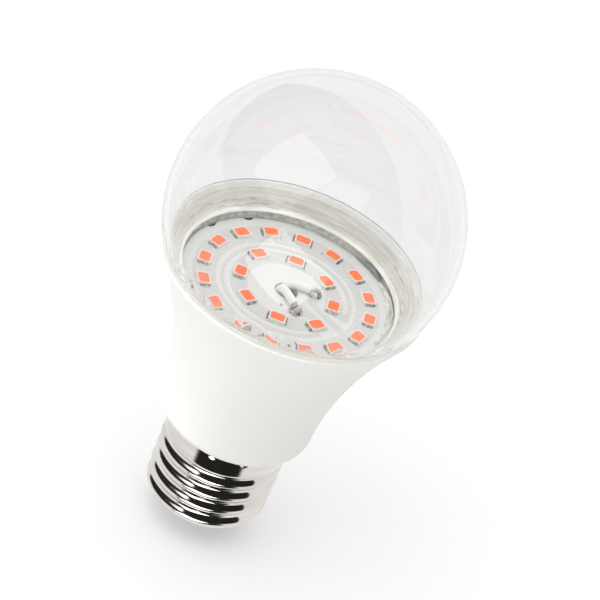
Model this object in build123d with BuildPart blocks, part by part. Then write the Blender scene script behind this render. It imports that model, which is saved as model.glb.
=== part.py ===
"""Grow light bulb: a clear globe over a round board of red-toned LEDs, on a screw cap.

The bulb's axis is Z, the globe is up, and the origin is the tip of the centre contact.
Lengths are in millimetres and angles in degrees.
"""
from build123d import *
from math import asin, cos, degrees, radians, sin, sqrt
import os

# Overall form
overall_length = 110.0
globe_radius = 30.0
globe_wall = 1.3
globe_spans = 3
seam_angle = 22.747

# Screw cap
thread_crest_radius = 13.15
thread_root_radius = 12.15
thread_pitch = 3.629
thread_turns = 4
lowest_crest_z = 8.0
shell_sheet = 0.3
shell_bottom_z = 5.9
shell_lip_radius = 10.9
lip_pull = 1.6
collar_bottom_z = 22.2
shell_gap = 0.1
crimp_count = 12
crimp_start_angle = 16.0
crimp_radius = 0.7
crimp_depth = 0.18
crimp_drop = 1.4

# Insulator and centre contact
contact_radius = 4.7
contact_thickness = 1.2
contact_rounding = 0.8
shank_radius = 1.2
shank_length = 2.6
insulator_foot_radius = 5.6
insulator_plug_height = 2.2
insulator_gap = 0.1
insulator_bore_radius = 1.35

# Moulded housing
housing_bottom_z = 27.2
housing_neck_radius = 16.4
housing_edge_rounding = 3.0
housing_foot_height = 3.2
housing_rim_z = 67.4
rim_overhang = 0.333
housing_rim_angle = 31.0
housing_rim_rounding = 0.25
flare_low_pull = 11.9
flare_low_lean = 0.45
flare_high_pull = 13.3
flare_cone_run = 12.0
housing_wall = 1.1
spigot_wall = 1.5
spigot_bottom_z = 12.0
spigot_cone_z = 27.5

# Aluminium cup
cup_gap = 0.1
cup_sheet = 0.8
cup_bottom_z = 33.0
cup_rim_drop = 3.7
cup_ledge_overlap = 0.6
cup_ledge_thickness = 1.0
board_seat = 3.3

# Globe skirt and silicone
seam_height = 1.0
skirt_gap = 0.35
skirt_wall = 1.2
skirt_bottom_gap = 0.1
skirt_blend_height = 1.9
silicone_film = 0.05
silicone_inset = 0.25
silicone_foot_gap = 0.6

# LED board
board_rim_inset = 5.7
board_drop = 6.55
board_thickness = 1.0
board_clearance = 0.2
board_hole_radius = 2.45

# Copper fields on the board, whose radii and outlines are shares of the board's radius
copper_thickness = 0.07
line_gap = 0.45
outer_field_share = (0.6682, 0.8946)
ring_trace_share = (0.5852, 0.6233)
inner_field_share = (0.3767, 0.5336)
ring_trace_ends = (20.0, 335.0)
feed_edge_angle = 9.5
pad_margin = 0.4
pad_gap = 0.25
positive_feed_share = [(0.224, 0.027), (0.336, 0.004), (0.596, -0.072), (0.691, -0.09), (0.691, -0.011),
                       (0.372, 0.038), (0.309, 0.072), (0.251, 0.152), (0.161, 0.117)]
negative_feed_share = [(0.206, -0.036), (0.386, -0.063), (0.386, -0.135), (0.323, -0.143),
                       (0.283, -0.211), (0.175, -0.206)]

# LEDs, whose ring radii are shares of the board's radius
outer_led_count = 16
outer_led_share = 0.7982
inner_led_count = 8
inner_led_share = 0.4484
far_led_share = 0.4933
far_leds = (4, 8)
led_length = 3.5
led_width = 2.8
led_height = 0.65
led_frame = 0.25
led_corner = 0.55
led_recess = 0.12
phosphor_drop = 0.03
terminal_length = 2.2
terminal_foot = 0.42
terminal_head = 0.14
terminal_height = 0.4

# Wires from the driver to the board, whose joints lie at a share of the board's radius and an angle
wire_radius = 0.8
wire_x = -0.3
wire_lap = 2.5
wire_bend_radius = 1.7
wire_straight = 0.9
wire_crown = 2.3
strip_length = 1.0
conductor_radius = 0.4
solder_radius = 1.3
solder_height = 1.2
solder_bulge = (1.17, 0.84)
solder_crown = 0.65
positive_joint = (0.2691, 42.0)
negative_joint = (0.287, -39.0)

# Driver board and the pieces on it
driver_thickness = 1.2
driver_foot_z = 14.0
driver_shoulder_z = 34.5
driver_headroom = 6.85
driver_half_width = 12.0
driver_edge_gap = 0.2
can_crimp_depth = 0.25
can_crimp_width = 0.8
can_crimp_height = 1.6
can_edge_rounding = 0.3
bulk_can = {"radius": 4.0, "length": 12.0, "x": -4.8, "z": 38.0}
output_can = {"radius": 3.15, "length": 11.0, "x": 5.0, "z": 38.5}
film_block = {"width": 7.0, "length": 8.0, "depth": 4.2, "x": -3.0, "z": 27.0}
film_corner = 1.2
film_edge_rounding = 0.9
resistor_radius = 1.3
resistor_length = 6.5
resistor_rounding = 0.4
resistor_x = 4.6
resistor_z = 23.0
lead_radius = 0.3
lead_run = 1.6
drum_radius = 4.5
drum_core_radius = 2.0
drum_height = 7.5
drum_flange = 1.2
drum_x = -5.0
drum_z = 45.0
winding_gap = 0.1
winding_fill = 0.75
bridge_chip = {"width": 4.7, "length": 3.8, "depth": 1.5, "x": -2.6, "z": 27.0}
bridge_leg_count = 2
driver_chip = {"width": 3.9, "length": 4.9, "depth": 1.5, "x": 5.0, "z": 39.0}
driver_leg_count = 4
diode_chip = {"width": 2.6, "length": 4.3, "depth": 2.2, "x": 5.2, "z": 47.5}
diode_leg_count = 1
chip_bevel = 0.25
chip_leg = (0.45, 0.7, 0.35)

# Leads from the cap to the driver board
cap_lead_radius = 0.6
lead_land_z = 16.5
live_land_x = 3.2
neutral_land_x = -5.0
cap_lead_bend = 1.6
live_lead_rise = 0.6
live_lead_drop = 1.0
neutral_clearance = 0.2

CORNER = (Align.MIN, Align.MIN)
FOOT = (Align.CENTER, Align.MIN)

os.makedirs("parts", exist_ok=True)


def write(builder, name):
    """Label one finished piece and write its STEP file."""
    builder.part.label = name
    export_step(builder.part, f"parts/{name}.step")


def on_circle(radius, angle):
    """A point at a radius and an angle on the bulb's axis."""
    return (radius * cos(radians(angle)), radius * sin(radians(angle)))


def flare_section(inset, low_z, high_z):
    """The half section inside the housing's flare, moved in by inset, between two heights.

    The flare is one Bezier curve from the neck to the rim, and runs on as a straight cone
    above the rim, which is how the globe's skirt follows it.
    """
    across, along = sin(radians(housing_rim_angle)), cos(radians(housing_rim_angle))
    flare_foot_z = housing_bottom_z + housing_foot_height
    neck = housing_neck_radius - inset
    rim = (housing_rim_radius - inset * along, housing_rim_z + inset * across)
    curve = [
        (neck, flare_foot_z),
        (neck + flare_low_lean, flare_foot_z + flare_low_pull),
        (rim[0] - flare_high_pull * across, rim[1] - flare_high_pull * along),
        rim,
    ]
    cone_end = (rim[0] + flare_cone_run * across, rim[1] + flare_cone_run * along)
    with BuildSketch() as section:
        with BuildLine():
            Bezier(*curve)
            Polyline(rim, cone_end, (0, cone_end[1]), (0, low_z), (neck, low_z), (neck, flare_foot_z))
        make_face()
        with Locations((0, low_z)):
            Rectangle(cone_end[0], high_z - low_z, align=CORNER, mode=Mode.INTERSECT)
    return section.sketch


def globe_outline(radius, half_height, low_angle):
    """The globe's outline from an angle below its widest circle up to its top.

    Each span is one rational curve: exactly a circle's arc where the half height is the
    radius, as on this bulb, and an ellipse's arc where the globe is drawn out or pressed flat.
    """
    half_span = radians(90 + low_angle) / globe_spans / 2
    for k in range(globe_spans):
        middle = (2 * k + 1) * half_span - radians(low_angle)
        start, end = ((radius * cos(angle), globe_centre_z + half_height * sin(angle))
                      for angle in (middle - half_span, middle + half_span))
        corner = (radius * cos(middle) / cos(half_span),
                  globe_centre_z + half_height * sin(middle) / cos(half_span))
        Bezier(start, corner, end, weights=[1, cos(half_span), 1])


def ring_sector(inner_radius, outer_radius, start, end):
    """A flat ring sector between two radii and two angles."""
    with BuildSketch() as sector:
        with BuildLine():
            CenterArc((0, 0), inner_radius, start, end - start)
            CenterArc((0, 0), outer_radius, start, end - start)
            Line(on_circle(inner_radius, start), on_circle(outer_radius, start))
            Line(on_circle(inner_radius, end), on_circle(outer_radius, end))
        make_face()
    return sector.sketch


# Seam, cup and board: the globe rises from its seam on the housing's rim to the bulb's full length,
# and the rim's radius follows the globe's, the board's follows the rim's
shoulder_z = housing_rim_z + seam_height
globe_half_height = (overall_length - shoulder_z) / (1 + sin(radians(seam_angle)))
globe_centre_z = overall_length - globe_half_height
shoulder_radius = globe_radius * cos(radians(seam_angle))
housing_rim_radius = shoulder_radius + rim_overhang
cup_rim_z = housing_rim_z - cup_rim_drop
board_radius = housing_rim_radius - board_rim_inset
board_bottom_z = housing_rim_z - board_drop
board_top_z = board_bottom_z + board_thickness
driver_top_z = board_bottom_z - driver_headroom

# Globe: blown clear shell, a truncated ball with a shoulder on the seam and a skirt inside it
bore_radius = globe_radius - globe_wall
bore_half_height = globe_half_height - globe_wall
blend_top_z = shoulder_z + skirt_blend_height
blend_angle = degrees(asin((globe_centre_z - blend_top_z) / bore_half_height))
blend_top = (bore_radius * cos(radians(blend_angle)), blend_top_z)
blend_fall = (-bore_radius * sin(radians(blend_angle)), -bore_half_height * cos(radians(blend_angle)))
skirt_bottom_z = cup_rim_z + skirt_bottom_gap
skirt_outer = flare_section(housing_wall + skirt_gap, skirt_bottom_z, shoulder_z)
skirt_inner = flare_section(housing_wall + skirt_gap + skirt_wall, skirt_bottom_z, shoulder_z)
skirt_top = (max(corner.X for corner in skirt_inner.vertices()), shoulder_z)
skirt_fall = (-sin(radians(housing_rim_angle)), -cos(radians(housing_rim_angle)))
with BuildPart() as globe:
    with BuildSketch(Plane.XZ):
        with BuildLine():
            globe_outline(globe_radius, globe_half_height, seam_angle)
            Polyline((shoulder_radius, shoulder_z), (0, shoulder_z), (0, overall_length))
        make_face()
        add(skirt_outer)
        with BuildLine():
            globe_outline(bore_radius, bore_half_height, blend_angle)
            Spline(blend_top, skirt_top, tangents=[Vector(*blend_fall).normalized(), skirt_fall])
            Polyline(skirt_top, (0, shoulder_z), (0, globe_centre_z + bore_half_height))
        make_face(mode=Mode.SUBTRACT)
        add(skirt_inner, mode=Mode.SUBTRACT)
    revolve(axis=Axis.Z)
write(globe, "globe")

# Housing: white moulded shell with a flared outside, a ledge for the cup and a spigot for the cap
spigot_radius = thread_root_radius - shell_sheet - shell_gap
spigot_collar_radius = thread_crest_radius - shell_sheet - shell_gap
spigot_bore_radius = spigot_radius - spigot_wall
cup_bore = flare_section(housing_wall + cup_gap + cup_sheet, cup_bottom_z, cup_rim_z)
cup_foot_radius = max(corner.X for corner in cup_bore.vertices().group_by(Axis.Y)[0])
with BuildPart() as housing:
    with BuildSketch(Plane.XZ):
        add(flare_section(0, housing_bottom_z, housing_rim_z))
        add(flare_section(housing_wall, cup_bottom_z, shoulder_z), mode=Mode.SUBTRACT)
        with Locations((0, spigot_bottom_z)):
            Rectangle(spigot_radius, housing_bottom_z - spigot_bottom_z, align=CORNER)
        with Locations((0, collar_bottom_z)):
            Rectangle(spigot_collar_radius, housing_bottom_z - collar_bottom_z, align=CORNER)
        with BuildLine():
            Polyline((0, spigot_bottom_z), (spigot_bore_radius, spigot_bottom_z),
                     (spigot_bore_radius, spigot_cone_z), (cup_foot_radius - cup_ledge_overlap, cup_bottom_z),
                     (0, cup_bottom_z), (0, spigot_bottom_z))
        make_face(mode=Mode.SUBTRACT)
    revolve(axis=Axis.Z)
    circles = housing.edges().filter_by(GeomType.CIRCLE)
    fillet(circles.filter_by_position(Axis.Z, housing_bottom_z, housing_bottom_z).sort_by(SortBy.RADIUS)[-1],
           radius=housing_edge_rounding)
    fillet(circles.sort_by(SortBy.RADIUS)[-1], radius=housing_rim_rounding)
write(housing, "housing")

# Heat sink cup: drawn aluminium cone against the housing's wall, with a ledge that carries the board
cup_outer = flare_section(housing_wall + cup_gap, cup_bottom_z, cup_rim_z)
ledge_bottom_z = board_bottom_z - cup_ledge_thickness
ledge_radius = board_radius - board_seat
pocket_radius = board_radius + board_clearance
with BuildPart() as heat_sink_cup:
    with BuildSketch(Plane.XZ):
        add(cup_outer)
        add(cup_bore, mode=Mode.SUBTRACT)
        with BuildSketch(mode=Mode.ADD):
            add(cup_outer)
            with Locations((ledge_radius, ledge_bottom_z)):
                Rectangle(globe_radius, cup_ledge_thickness, align=CORNER, mode=Mode.INTERSECT)
        with Locations((0, board_bottom_z)):
            Rectangle(pocket_radius, cup_rim_z - board_bottom_z, align=CORNER, mode=Mode.SUBTRACT)
    revolve(axis=Axis.Z)
write(heat_sink_cup, "heat_sink_cup")

# Silicone: the bead on the seam, run down as a film between the skirt and the housing's wall
with BuildPart() as silicone_seal:
    with BuildSketch(Plane.XZ):
        with Locations((0, housing_rim_z)):
            Rectangle(shoulder_radius - silicone_inset, seam_height, align=CORNER)
        add(flare_section(housing_wall + silicone_film, skirt_bottom_z + silicone_foot_gap, shoulder_z))
        add(flare_section(housing_wall + skirt_gap - silicone_film, skirt_bottom_z, shoulder_z),
            mode=Mode.SUBTRACT)
    revolve(axis=Axis.Z)
write(silicone_seal, "silicone_seal")

# LED board: round aluminium-core board with a hole for the wires
with BuildPart() as led_board:
    with BuildSketch(Plane.XY.offset(board_bottom_z)):
        Circle(board_radius)
        Circle(board_hole_radius, mode=Mode.SUBTRACT)
    extrude(amount=board_thickness)
write(led_board, "led_board")

# Copper fields: 16 outer and 8 inner fields between the LEDs, a ring trace, and the two feeds
outer_field = [board_radius * share for share in outer_field_share]
ring_trace = [board_radius * share for share in ring_trace_share]
inner_field = [board_radius * share for share in inner_field_share]
outer_led_radius = board_radius * outer_led_share
inner_led_radius = board_radius * inner_led_share
far_led_radius = board_radius * far_led_share
joint_places = [on_circle(board_radius * share, angle) for share, angle in (positive_joint, negative_joint)]
outer_step = 360 / outer_led_count
inner_step = 360 / inner_led_count
outer_gap_angle = degrees(line_gap / 2 / outer_led_radius)
inner_gap_angle = degrees(line_gap / 2 / inner_led_radius)
copper_fields = []
for k in range(outer_led_count - 1):
    start, end = k * outer_step + outer_gap_angle, (k + 1) * outer_step - outer_gap_angle
    copper_fields.append(ring_sector(*outer_field, start, end))
for k in range(inner_led_count - 1):
    start, end = (k + 0.5) * inner_step + inner_gap_angle, (k + 1.5) * inner_step - inner_gap_angle
    copper_fields.append(ring_sector(*inner_field, start, end))
with BuildSketch() as return_trace:
    add(ring_sector(*ring_trace, *ring_trace_ends))
    add(ring_sector(inner_field[0], ring_trace[1], feed_edge_angle, inner_step / 2 - inner_gap_angle))
copper_fields.append(return_trace.sketch)
with BuildSketch() as positive_feed:
    add(ring_sector(*outer_field, outer_gap_angle - outer_step, -outer_gap_angle))
    with BuildLine():
        Polyline(*[(board_radius * x, board_radius * y) for x, y in positive_feed_share], close=True)
    make_face()
    with Locations(joint_places[0]):
        Circle(solder_radius + pad_margin)
with BuildSketch() as negative_feed:
    add(ring_sector(*inner_field, inner_gap_angle - inner_step / 2, -feed_edge_angle))
    with BuildLine():
        Polyline(*[(board_radius * x, board_radius * y) for x, y in negative_feed_share], close=True)
    make_face()
    with Locations(joint_places[1]):
        Circle(solder_radius + pad_margin)
with BuildPart() as copper:
    with BuildSketch(Plane.XY.offset(board_top_z)):
        for field in copper_fields:
            add(field)
        with Locations(*joint_places):
            Circle(solder_radius + pad_margin + pad_gap, mode=Mode.SUBTRACT)
        add(positive_feed.sketch)
        add(negative_feed.sketch)
    extrude(amount=copper_thickness)
write(copper, "copper_fields")

# Screw shell: rolled sheet cap, its thread drawn here as level rolls of the thread's own size
roll_root_z = [lowest_crest_z + (k + 0.5) * thread_pitch for k in range(thread_turns)]


def shell_outline(inset):
    """The shell's outline from its bottom lip to the top of its collar, moved in by inset."""
    crest, root = thread_crest_radius - inset, thread_root_radius - inset
    rolls = [(crest, lowest_crest_z)]
    for z in roll_root_z:
        rolls += [(root, z), (crest, z + thread_pitch / 2)]
    rolls[-1] = (crest, collar_bottom_z)
    lip = (shell_lip_radius, shell_bottom_z + inset)
    upright = [(0, 1)] * len(rolls)
    with BuildSketch() as outline:
        with BuildLine():
            Bezier(lip, (shell_lip_radius + lip_pull, lip[1]),
                   (crest, lowest_crest_z - lip_pull / 2), rolls[0])
            Spline(*rolls, tangents=upright)
            Polyline(rolls[-1], (crest, housing_bottom_z), (0, housing_bottom_z), (0, lip[1]), lip)
        make_face()
    return outline.sketch


with BuildPart() as screw_shell:
    with BuildSketch(Plane.XZ):
        add(shell_outline(0))
        add(shell_outline(shell_sheet), mode=Mode.SUBTRACT)
        with Locations((0, shell_bottom_z)):
            Rectangle(shell_lip_radius, shell_sheet, align=CORNER, mode=Mode.SUBTRACT)
    revolve(axis=Axis.Z)
    crimp_centre = thread_crest_radius + crimp_radius - crimp_depth
    with Locations((0, 0, housing_bottom_z - crimp_drop)):
        with PolarLocations(crimp_centre, crimp_count, start_angle=crimp_start_angle):
            Sphere(crimp_radius, mode=Mode.SUBTRACT)
write(screw_shell, "screw_shell")

# Base insulator: moulded cone between the shell's lip and the contact, with a bore for the lead
plug_radius = shell_lip_radius - insulator_gap
plug_top_z = shell_bottom_z + insulator_plug_height
insulator_bottom_z = contact_thickness
with BuildPart() as base_insulator:
    with BuildSketch(Plane.XZ):
        with BuildLine():
            Polyline((insulator_bore_radius, insulator_bottom_z), (insulator_foot_radius, insulator_bottom_z),
                     (plug_radius, shell_bottom_z - insulator_gap), (plug_radius, plug_top_z),
                     (insulator_bore_radius, plug_top_z), (insulator_bore_radius, insulator_bottom_z))
        make_face()
    revolve(axis=Axis.Z)
write(base_insulator, "base_insulator")

# Centre contact: domed rivet whose flat tip is the bulb's lowest point
with BuildPart() as centre_contact:
    with BuildSketch():
        Circle(contact_radius)
    extrude(amount=contact_thickness)
    fillet(centre_contact.edges().group_by(Axis.Z)[0], radius=contact_rounding)
    with BuildSketch(Plane.XY.offset(contact_thickness)):
        Circle(shank_radius)
    extrude(amount=shank_length)
write(centre_contact, "centre_contact")

# LEDs: white moulded frames with a sunk window, long side across the radius
led_base_z = board_top_z + copper_thickness
window = (led_width - 2 * led_frame, led_length - 2 * led_frame, led_corner)
led_places = []
for k in range(outer_led_count):
    led_places.append((f"led_outer_{k + 1:02d}", outer_led_radius, k * outer_step))
for k in range(inner_led_count):
    radius = far_led_radius if k + 1 in far_leds else inner_led_radius
    led_places.append((f"led_inner_{k + 1:02d}", radius, (k + 0.5) * inner_step))


def board_plane(radius, angle, z):
    """A level plane at a polar place on the board, its x pointing outwards."""
    return Plane(origin=(*on_circle(radius, angle), z), x_dir=(*on_circle(1, angle), 0), z_dir=(0, 0, 1))


for name, radius, angle in led_places:
    place = board_plane(radius, angle, led_base_z)
    with BuildPart() as led:
        with BuildSketch(place):
            Rectangle(led_width, led_length)
        extrude(amount=led_height)
        with BuildSketch(place.offset(led_height)):
            RectangleRounded(*window)
        extrude(amount=-led_recess, mode=Mode.SUBTRACT)
    write(led, name)

# Phosphor fills: one tinted fill in the window of each LED
with BuildPart() as phosphor_fills:
    for name, radius, angle in led_places:
        with BuildSketch(board_plane(radius, angle, led_base_z + led_height - led_recess)):
            RectangleRounded(*window)
        extrude(amount=led_recess - phosphor_drop)
write(phosphor_fills, "phosphor_fills")

# LED terminals: a soldered foot against each end of each LED
with BuildPart() as led_terminals:
    for name, radius, angle in led_places:
        for end in (-1, 1):
            outwards, across = Vector(*on_circle(1, angle)), Vector(*on_circle(1, angle + 90))
            foot = outwards * radius + across * (end * led_length / 2) + Vector(0, 0, led_base_z)
            with BuildSketch(Plane(origin=foot, x_dir=across * end, z_dir=outwards * end)):
                with BuildLine():
                    Polyline((0, 0), (terminal_foot, 0), (terminal_head, terminal_height),
                             (0, terminal_height), (0, 0))
                make_face()
            extrude(amount=terminal_length / 2, both=True)
write(led_terminals, "led_terminals")

# Driver board: upright board whose tongue stands in the spigot's bore
tongue_half_width = sqrt(spigot_bore_radius**2 - (driver_thickness / 2) ** 2) - driver_edge_gap
with BuildPart() as driver_board:
    with BuildSketch(Plane.XZ):
        with Locations((0, driver_foot_z)):
            Rectangle(2 * tongue_half_width, driver_shoulder_z - driver_foot_z, align=FOOT)
        with Locations((0, driver_shoulder_z)):
            Rectangle(2 * driver_half_width, driver_top_z - driver_shoulder_z, align=FOOT)
    extrude(amount=driver_thickness / 2, both=True)
write(driver_board, "driver_board")

# Capacitor cans: sleeved cans with a crimped neck, lying on the driver board's front
front_y = driver_thickness / 2
for name, can in (("bulk_capacitor", bulk_can), ("output_capacitor", output_can)):
    with BuildPart() as capacitor:
        with BuildSketch(Plane.XY.offset(can["z"])):
            with Locations((can["x"], front_y + can["radius"])):
                Circle(can["radius"])
        extrude(amount=can["length"])
        rims = capacitor.edges().group_by(Axis.Z)
        fillet(rims[0] + rims[-1], radius=can_edge_rounding)
        with BuildSketch(Plane.XY.offset(can["z"] + can_crimp_height)):
            with Locations((can["x"], front_y + can["radius"])):
                Circle(can["radius"])
                Circle(can["radius"] - can_crimp_depth, mode=Mode.SUBTRACT)
        extrude(amount=can_crimp_width, mode=Mode.SUBTRACT)
    write(capacitor, name)

# Film capacitor: dipped block on the tongue
with BuildPart() as film_capacitor:
    with BuildSketch(Plane.XZ.offset(-front_y)):
        with Locations((film_block["x"], film_block["z"])):
            RectangleRounded(film_block["width"], film_block["length"], film_corner)
    extrude(amount=-film_block["depth"])
    fillet(film_capacitor.faces().sort_by(Axis.Y)[-1].edges(), radius=film_edge_rounding)
write(film_capacitor, "film_capacitor")

# Fusible resistor: waisted body on the tongue, its leads turned down into the board
with BuildPart() as fusible_resistor:
    with BuildSketch(Plane.XY.offset(resistor_z - resistor_length / 2)):
        with Locations((resistor_x, front_y + resistor_radius)):
            Circle(resistor_radius)
    extrude(amount=resistor_length)
    rims = fusible_resistor.edges().group_by(Axis.Z)
    fillet(rims[0] + rims[-1], radius=resistor_rounding)
    for end in (-1, 1):
        lead_z = resistor_z + end * (resistor_length / 2 + lead_run)
        resistor_y = front_y + resistor_radius
        with BuildLine() as lead_path:
            FilletPolyline((resistor_x, resistor_y, resistor_z), (resistor_x, resistor_y, lead_z),
                           (resistor_x, front_y, lead_z), radius=2 * lead_radius)
        with BuildSketch(Plane(origin=lead_path.line @ 0, z_dir=(0, 0, end))):
            Circle(lead_radius)
        sweep(path=lead_path.line)
write(fusible_resistor, "fusible_resistor")

# Choke: ferrite drum standing on the driver board's back, and its copper winding
back_plane = Plane.XZ.offset(driver_thickness / 2)
with BuildPart() as choke_core:
    with BuildSketch(back_plane):
        with Locations((drum_x, drum_z)):
            Circle(drum_radius)
    extrude(amount=drum_height)
    with BuildSketch(back_plane.offset(drum_flange)):
        with Locations((drum_x, drum_z)):
            Circle(drum_radius)
            Circle(drum_core_radius, mode=Mode.SUBTRACT)
    extrude(amount=drum_height - 2 * drum_flange, mode=Mode.SUBTRACT)
write(choke_core, "choke_core")
winding_radius = drum_core_radius + winding_fill * (drum_radius - drum_core_radius)
with BuildPart() as choke_winding:
    with BuildSketch(back_plane.offset(drum_flange + winding_gap)):
        with Locations((drum_x, drum_z)):
            Circle(winding_radius)
            Circle(drum_core_radius + winding_gap, mode=Mode.SUBTRACT)
    extrude(amount=drum_height - 2 * drum_flange - 2 * winding_gap)
write(choke_winding, "choke_winding")

# Chips on the back: moulded bodies with legs down both long sides
chips = (
    ("bridge_rectifier", bridge_chip, bridge_leg_count),
    ("driver_chip", driver_chip, driver_leg_count),
    ("flyback_diode", diode_chip, diode_leg_count),
)
leg_width, leg_reach, leg_height = chip_leg
for name, chip, legs in chips:
    with BuildPart() as package:
        with BuildSketch(back_plane):
            with Locations((chip["x"], chip["z"])):
                Rectangle(chip["width"], chip["length"])
        extrude(amount=chip["depth"])
        chamfer(package.faces().sort_by(Axis.Y)[0].edges(), length=chip_bevel)
        with BuildSketch(back_plane):
            with Locations((chip["x"], chip["z"])):
                with GridLocations(chip["width"] + leg_reach, chip["length"] / legs, 2, legs):
                    Rectangle(leg_reach + leg_width, leg_width)
        extrude(amount=leg_height)
    write(package, name)

# Wires to the LED board: each runs up one face of the driver board, through the hole and over to its joint
wire_foot_z = driver_top_z - wire_lap
for name, joint_place, side in (("positive", joint_places[0], 1), ("negative", joint_places[1], -1)):
    wire_y = side * (driver_thickness / 2 + wire_radius)
    joint_x, joint_y = joint_place
    joint_z = led_base_z + solder_height / 2
    joint_point = Vector(joint_x, joint_y, joint_z)
    elbow = Vector(wire_x, wire_y, board_top_z + wire_straight)
    crown = elbow + Vector(wire_straight, side * wire_straight / 2, wire_crown - wire_straight)
    strip_point = joint_point + (crown - joint_point).normalized() * (solder_radius + strip_length / 2)
    with BuildLine() as route:
        FilletPolyline((wire_x, wire_y, wire_foot_z), elbow, crown, strip_point, radius=wire_bend_radius)
    with BuildPart() as wire:
        with BuildSketch(Plane(origin=route.line @ 0, z_dir=(0, 0, 1))):
            Circle(wire_radius)
        sweep(path=route.line)
    write(wire, f"{name}_wire")
    with BuildPart() as joint_solder:
        with BuildSketch(Plane(origin=(joint_x, joint_y, led_base_z), x_dir=(1, 0, 0), z_dir=(0, -1, 0))):
            with BuildLine():
                Bezier((solder_radius, 0), solder_bulge, (solder_crown, solder_height), (0, solder_height))
                Polyline((0, solder_height), (0, 0), (solder_radius, 0))
            make_face()
        revolve(axis=Axis((joint_x, joint_y, 0), (0, 0, 1)))
        with BuildSketch(Plane(origin=strip_point, z_dir=joint_point - strip_point)):
            Circle(conductor_radius)
        extrude(amount=(joint_point - strip_point).length)
    write(joint_solder, f"{name}_joint")

# Cap leads: the live lead from the contact's shank, and the neutral lead to the shell's wall
front_land_y = front_y + cap_lead_radius
with BuildLine() as live_route:
    FilletPolyline((0, 0, contact_thickness + shank_length), (0, 0, plug_top_z + live_lead_rise),
                   (live_land_x, front_land_y, driver_foot_z - live_lead_drop),
                   (live_land_x, front_land_y, lead_land_z), radius=cap_lead_bend)
with BuildPart() as live_lead:
    with BuildSketch(Plane(origin=live_route.line @ 0, z_dir=(0, 0, 1))):
        Circle(cap_lead_radius)
    sweep(path=live_route.line)
write(live_lead, "live_lead")
shell_bore_radius = thread_root_radius - shell_sheet
neutral_run_z = spigot_bottom_z - cap_lead_radius - neutral_clearance
neutral_end_x = neutral_clearance - sqrt(shell_bore_radius**2 - (front_land_y + cap_lead_radius) ** 2)
with BuildLine() as neutral_route:
    FilletPolyline((neutral_land_x, front_land_y, lead_land_z), (neutral_land_x, front_land_y, neutral_run_z),
                   (neutral_end_x, front_land_y, neutral_run_z), radius=cap_lead_bend)
with BuildPart() as neutral_lead:
    with BuildSketch(Plane(origin=neutral_route.line @ 0, z_dir=(0, 0, -1))):
        Circle(cap_lead_radius)
    sweep(path=neutral_route.line)
write(neutral_lead, "neutral_lead")
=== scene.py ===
"""Grow light bulb: its finished surfaces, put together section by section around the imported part.

Lengths are in metres in the part's own frame: the bulb's axis is Z and z = 0 is the contact's tip.
Each new piece is a surface worked out on a grid of two parameters.
"""

import bmesh
import bpy
import numpy as np
from mathutils import Matrix, Vector


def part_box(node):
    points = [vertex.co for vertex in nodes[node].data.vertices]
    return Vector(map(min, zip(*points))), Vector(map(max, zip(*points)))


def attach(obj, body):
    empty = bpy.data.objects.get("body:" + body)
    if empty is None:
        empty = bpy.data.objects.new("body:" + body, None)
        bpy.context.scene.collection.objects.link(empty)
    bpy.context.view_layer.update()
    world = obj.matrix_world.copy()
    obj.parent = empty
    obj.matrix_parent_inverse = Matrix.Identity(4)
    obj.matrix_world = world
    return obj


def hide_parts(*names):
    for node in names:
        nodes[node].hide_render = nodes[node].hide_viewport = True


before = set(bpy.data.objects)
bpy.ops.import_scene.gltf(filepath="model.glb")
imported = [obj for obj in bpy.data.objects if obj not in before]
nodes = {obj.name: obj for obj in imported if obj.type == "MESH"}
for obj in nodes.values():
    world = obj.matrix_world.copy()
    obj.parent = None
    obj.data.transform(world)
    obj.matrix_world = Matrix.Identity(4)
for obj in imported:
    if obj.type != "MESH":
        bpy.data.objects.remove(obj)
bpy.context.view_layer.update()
mm = 0.001


# Centre contact: a brass button riveted under the insulator and tinned by hand, so its face is
# a little uneven and patchy in colour.
def surface_group():
    """Two noise patterns in the bulb's own coordinates, squeezed on each axis by a factor.

    The broad one is for colour and the fine one for gloss and relief.
    """
    group = bpy.data.node_groups.new("surface_variation", "ShaderNodeTree")
    for name, kind, value in (("Squeeze", "NodeSocketVector", (1.0, 1.0, 1.0)),
                              ("Broad Scale", "NodeSocketFloat", 120.0),
                              ("Fine Scale", "NodeSocketFloat", 2500.0)):
        socket = group.interface.new_socket(name=name, in_out="INPUT", socket_type=kind)
        socket.default_value = value
    for name in ("Broad", "Fine"):
        group.interface.new_socket(name=name, in_out="OUTPUT", socket_type="NodeSocketFloat")
    entry = group.nodes.new("NodeGroupInput")
    leave = group.nodes.new("NodeGroupOutput")
    place = group.nodes.new("ShaderNodeTexCoord")
    squeezed = group.nodes.new("ShaderNodeVectorMath")
    squeezed.operation = "MULTIPLY"
    group.links.new(place.outputs["Object"], squeezed.inputs[0])
    group.links.new(entry.outputs["Squeeze"], squeezed.inputs[1])
    for name, detail in (("Broad", 3.0), ("Fine", 2.0)):
        noise = group.nodes.new("ShaderNodeTexNoise")
        noise.inputs["Detail"].default_value = detail
        group.links.new(squeezed.outputs[0], noise.inputs["Vector"])
        group.links.new(entry.outputs[f"{name} Scale"], noise.inputs["Scale"])
        group.links.new(noise.outputs["Fac"], leave.inputs[name])
    return group


surface_variation = surface_group()
noise_low = 0.3
noise_high = 0.7


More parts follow.
